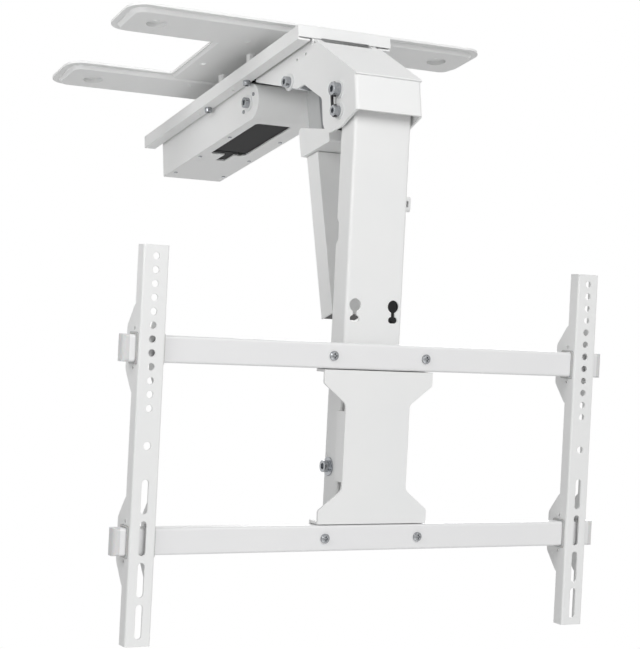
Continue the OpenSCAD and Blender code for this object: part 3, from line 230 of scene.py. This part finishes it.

# %% [markdown]
# ## Moulded plastics
#
# The boxes of the electronics are black ABS, moulded in a tool with a spark-eroded grain of about
# 0.4 mm, which scatters light and hides scratches. That grain is too fine for the picture, so it
# is drawn at 0.8 mm, and a low specular level keeps the box from mirroring the white room. A
# Voronoi pattern gives the pits of such a grain, where a noise would give soft waves. The end
# caps of the tubes are smooth pale polyethylene with a little light under the skin, which the
# subsurface weight gives. The frames that glide on the tubes are acetal, and their grey tone is
# painted shade, standing in for the dark shadow lines round their rims. The drive's nut is turned
# nylon, and the control board has a green solder mask over its glass fibre.

# %% Plastics
plastic_patch_mm = 25.0
grain_depth_mm = 0.05
light_depth_mm = 1.5


def moulded(name, tone, deep_tone, roughness, grain_mm, grain_strength,
            under_skin=0.0, ior=1.53, shine=0.5):
    finish, tree, where, shader = begin(name)
    mottle(tree, where, shader, tone, deep_tone, plastic_patch_mm)
    grain = add(tree, "ShaderNodeTexVoronoi",
                inputs={"Vector": where, "Scale": 1 / (grain_mm * MM)})
    emboss(tree, shader, grain.outputs["Distance"], grain_strength, grain_depth_mm)
    shader.inputs["Roughness"].default_value = roughness
    shader.inputs["IOR"].default_value = ior
    shader.inputs["Specular IOR Level"].default_value = shine
    shader.inputs["Subsurface Weight"].default_value = under_skin
    shader.inputs["Subsurface Scale"].default_value = light_depth_mm * MM
    return finish


abs_black = moulded("grained_black_abs", "#161618", "#0f0f11", 0.62, 0.8, 0.35, shine=0.15)
abs_smooth = moulded("smooth_black_abs", "#141416", "#0e0e10", 0.48, 1.6, 0.08, shine=0.25)
cap_plastic = moulded("moulded_pale_polyethylene", "#dadada", "#d2d2d2", 0.40, 1.5, 0.06,
                      under_skin=0.10, ior=1.51)
# The grey tone of the guides is painted shade for the shadow lines round their rims.
acetal_painted_shade = moulded("moulded_acetal_with_painted_shade", "#bdbdbc", "#b4b4b3", 0.38, 1.4, 0.06,
                 under_skin=0.08, ior=1.48)
nylon = moulded("turned_white_nylon", "#e6e3da", "#dad7cd", 0.45, 1.2, 0.10, under_skin=0.10)
board_green = moulded("solder_mask_on_glass_fibre", "#1d5a36", "#16482b", 0.30, 0.9, 0.15)
plastics = (abs_black, abs_smooth, cap_plastic, acetal_painted_shade, nylon, board_green)
print("plastics:", [plastic.name for plastic in plastics])

# %% [markdown]
# ## Which piece has which finish
#
# The pieces of the mechanical model keep their shape and only take a finish. The table reads like
# a parts list: one entry for each finish. A loop then puts the material in every slot of every
# piece, and the print shows that no piece was left with its plain colour.

# %% Finishes
parts_list = {
    coat_pressing: ["ceiling_plate", "head_frame", "rail_front_cap"],
    coat_sheet: ["plate_spacers", "top_rail", "casing_shell", "casing_bottom", "column",
                 "cable_clip", "centre_bracket", "tv_rail_left", "tv_rail_right",
                 "gearbox_cover", "actuator_cover"],
    coat_tube: ["upper_tube", "lower_tube"],
    cast_coat_painted_shade: ["actuator_eye"],
    coat_washer: ["ear_washers", "nose_washers"],
    zinc_bolt: ["plate_studs", "plate_nuts", "lip_bolts", "lip_nuts", "hinge_bolts", "hinge_nuts",
                "ear_lower_bolts", "top_pivot_bolt", "top_pivot_nut", "top_pivot_sleeves",
                "casing_screws", "nose_bolts", "foot_pivot_bolts", "foot_pivot_sleeves",
                "tube_nuts", "lead_screw"],
    zinc_screw: ["nose_screws", "tube_screws"],
    zinc_washer: ["ear_doublers", "column_cheeks"],
    ground_rod: ["actuator_rod", "rod_eye", "eye_pin"],
    drawn_tube: ["actuator_barrel"],
    blackened_wire_and_painted_shade: ["bolt_locks"],
    motor_can: ["drive_motor"],
    bronze: ["hinge_bushes", "motor_pinion", "drive_gear"],
    abs_black: ["control_box", "power_supply"],
    abs_smooth: ["cable_pad", "control_lid", "power_inlet", "barrel_gland"],
    cap_plastic: ["tube_end_caps"],
    acetal_painted_shade: ["rail_guides_left", "rail_guides_right"],
    nylon: ["drive_nut"],
    board_green: ["control_board"],
}
dressed = set()
for finish, names in parts_list.items():
    for name in names:
        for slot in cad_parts[name].material_slots:
            slot.material = finish
            dressed.add(name)
bare = sorted(set(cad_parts) - dressed)
print("dressed", len(dressed), "of", len(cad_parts), "left:", bare)

# %% [markdown]
# ## Floor
#
# The mount hangs in the air from the origin, which is the height of the ceiling, so the floor
# lies 2.4 m below it, as in a room, and only catches a soft shadow. It is pale and matt. Its
# colour alone would come out grey, because the lamps are set for the mount. Light Path tells
# which rays come from the camera, or reach the floor by way of a mirror or through glass. For
# those the floor glows, so that it meets the white background without lighting the object.

# %% Floor
room_height = 2.4
floor_half = 15.0
floor_patch_mm = 40.0
floor_glow = 0.70


def seen_rays(tree):
    path = add(tree, "ShaderNodeLightPath")
    seen = path.outputs["Is Camera Ray"]
    for kind in ("Is Glossy Ray", "Is Transmission Ray"):
        seen = add(tree, "ShaderNodeMath", {"operation": "MAXIMUM"},
                   {0: seen, 1: path.outputs[kind]}).outputs[0]
    return seen


corners = [(x * floor_half, y * floor_half, -room_height)
           for x, y in ((-1, -1), (1, -1), (1, 1), (-1, 1))]
mesh = bpy.data.meshes.new("studio_floor")
mesh.from_pydata(corners, [], [(0, 1, 2, 3)])
floor = bpy.data.objects.new("studio_floor", mesh)
bpy.context.scene.collection.objects.link(floor)
paper, tree, where, shader = begin("pale_matt_floor")
mottle(tree, where, shader, "#dfdfdf", "#dcdcdc", floor_patch_mm)
glow = add(tree, "ShaderNodeMath", {"operation": "MULTIPLY"}, {0: seen_rays(tree), 1: floor_glow})
tree.links.new(glow.outputs[0], shader.inputs["Emission Strength"])
shader.inputs["Emission Color"].default_value = linear("#ffffff")
shader.inputs["Roughness"].default_value = 0.9
floor.data.materials.append(paper)
print("floor at z", -room_height)

# %% [markdown]
# ## Background
#
# The background has to be white, but a world that bright would wash out a white object. The same
# three kinds of ray see pure white. All other rays, which are the ones that light the object, see
# a plain grey sky.

# %% World
sky_light = 0.31
pure_white = 1.0
world = bpy.data.worlds.new("studio_world")
bpy.context.scene.world = world
world.use_nodes = True
sky = world.node_tree
sky.nodes.clear()
plain, white = (
    add(sky, "ShaderNodeBackground", inputs={"Color": linear("#ffffff"), "Strength": strength})
    for strength in (sky_light, pure_white))
chosen = add(sky, "ShaderNodeMixShader",
             inputs={0: seen_rays(sky), 1: plain.outputs[0], 2: white.outputs[0]})
add(sky, "ShaderNodeOutputWorld", inputs={"Surface": chosen.outputs[0]})
print("sky strength", round(plain.inputs["Strength"].default_value, 3))

# %% [markdown]
# ## Light
#
# A white object on white needs light that differs from side to side, or its faces run together.
# One large soft lamp stands to the front and a little to the right, higher than the mount, so
# that the faces turned to the viewer are the brightest. A fill lamp on the left keeps the flanks
# at a light grey, and a weaker one from below lifts the underside of the plate, which would be
# nearly dark under a real ceiling. A small lamp with a narrow spread picks out the head from the
# left, and a soft one behind lights the back for the views from there. Square area lamps do this
# best: their size sets how soft a shadow is, and their power how bright it is around it.

# %% Lamps
def soft_lamp(name, place, target, size, watts, spread=180.0):
    data = bpy.data.lights.new(name, "AREA")
    data.shape = "SQUARE"
    data.size = size
    data.energy = watts
    data.spread = math.radians(spread)
    lamp = bpy.data.objects.new(name, data)
    lamp.location = place
    lamp.rotation_euler = (Vector(target) - Vector(place)).to_track_quat("-Z", "Y").to_euler()
    bpy.context.scene.collection.objects.link(lamp)
    return lamp


middle = (0.0, -0.2, -0.35)
just_above_head = (-0.05, -0.05, 0.02)
lamps = [
    soft_lamp("key_lamp", (0.7, -4.2, 1.5), middle, size=2.2, watts=97.0),
    soft_lamp("fill_lamp", (-2.3, -1.2, 0.7), middle, size=1.4, watts=20.0),
    soft_lamp("under_lamp", (-0.3, -0.9, -1.5), middle, size=1.4, watts=3.5),
    soft_lamp("head_lamp", (-1.5, -0.7, -0.25), just_above_head, size=0.6, watts=0.45,
              spread=40.0),
    soft_lamp("back_lamp", (2.4, 2.6, 1.0), middle, size=2.0, watts=45.0),
]
print("lamps:", [(lamp.name, round(lamp.data.energy, 2)) for lamp in lamps])

# %% [markdown]
# ## Colour management
#
# The Standard view keeps the written colours as they are, so a hex value in a material comes out
# as that value under plain light.

# %% Finish
bpy.context.scene.view_settings.view_transform = "Standard"
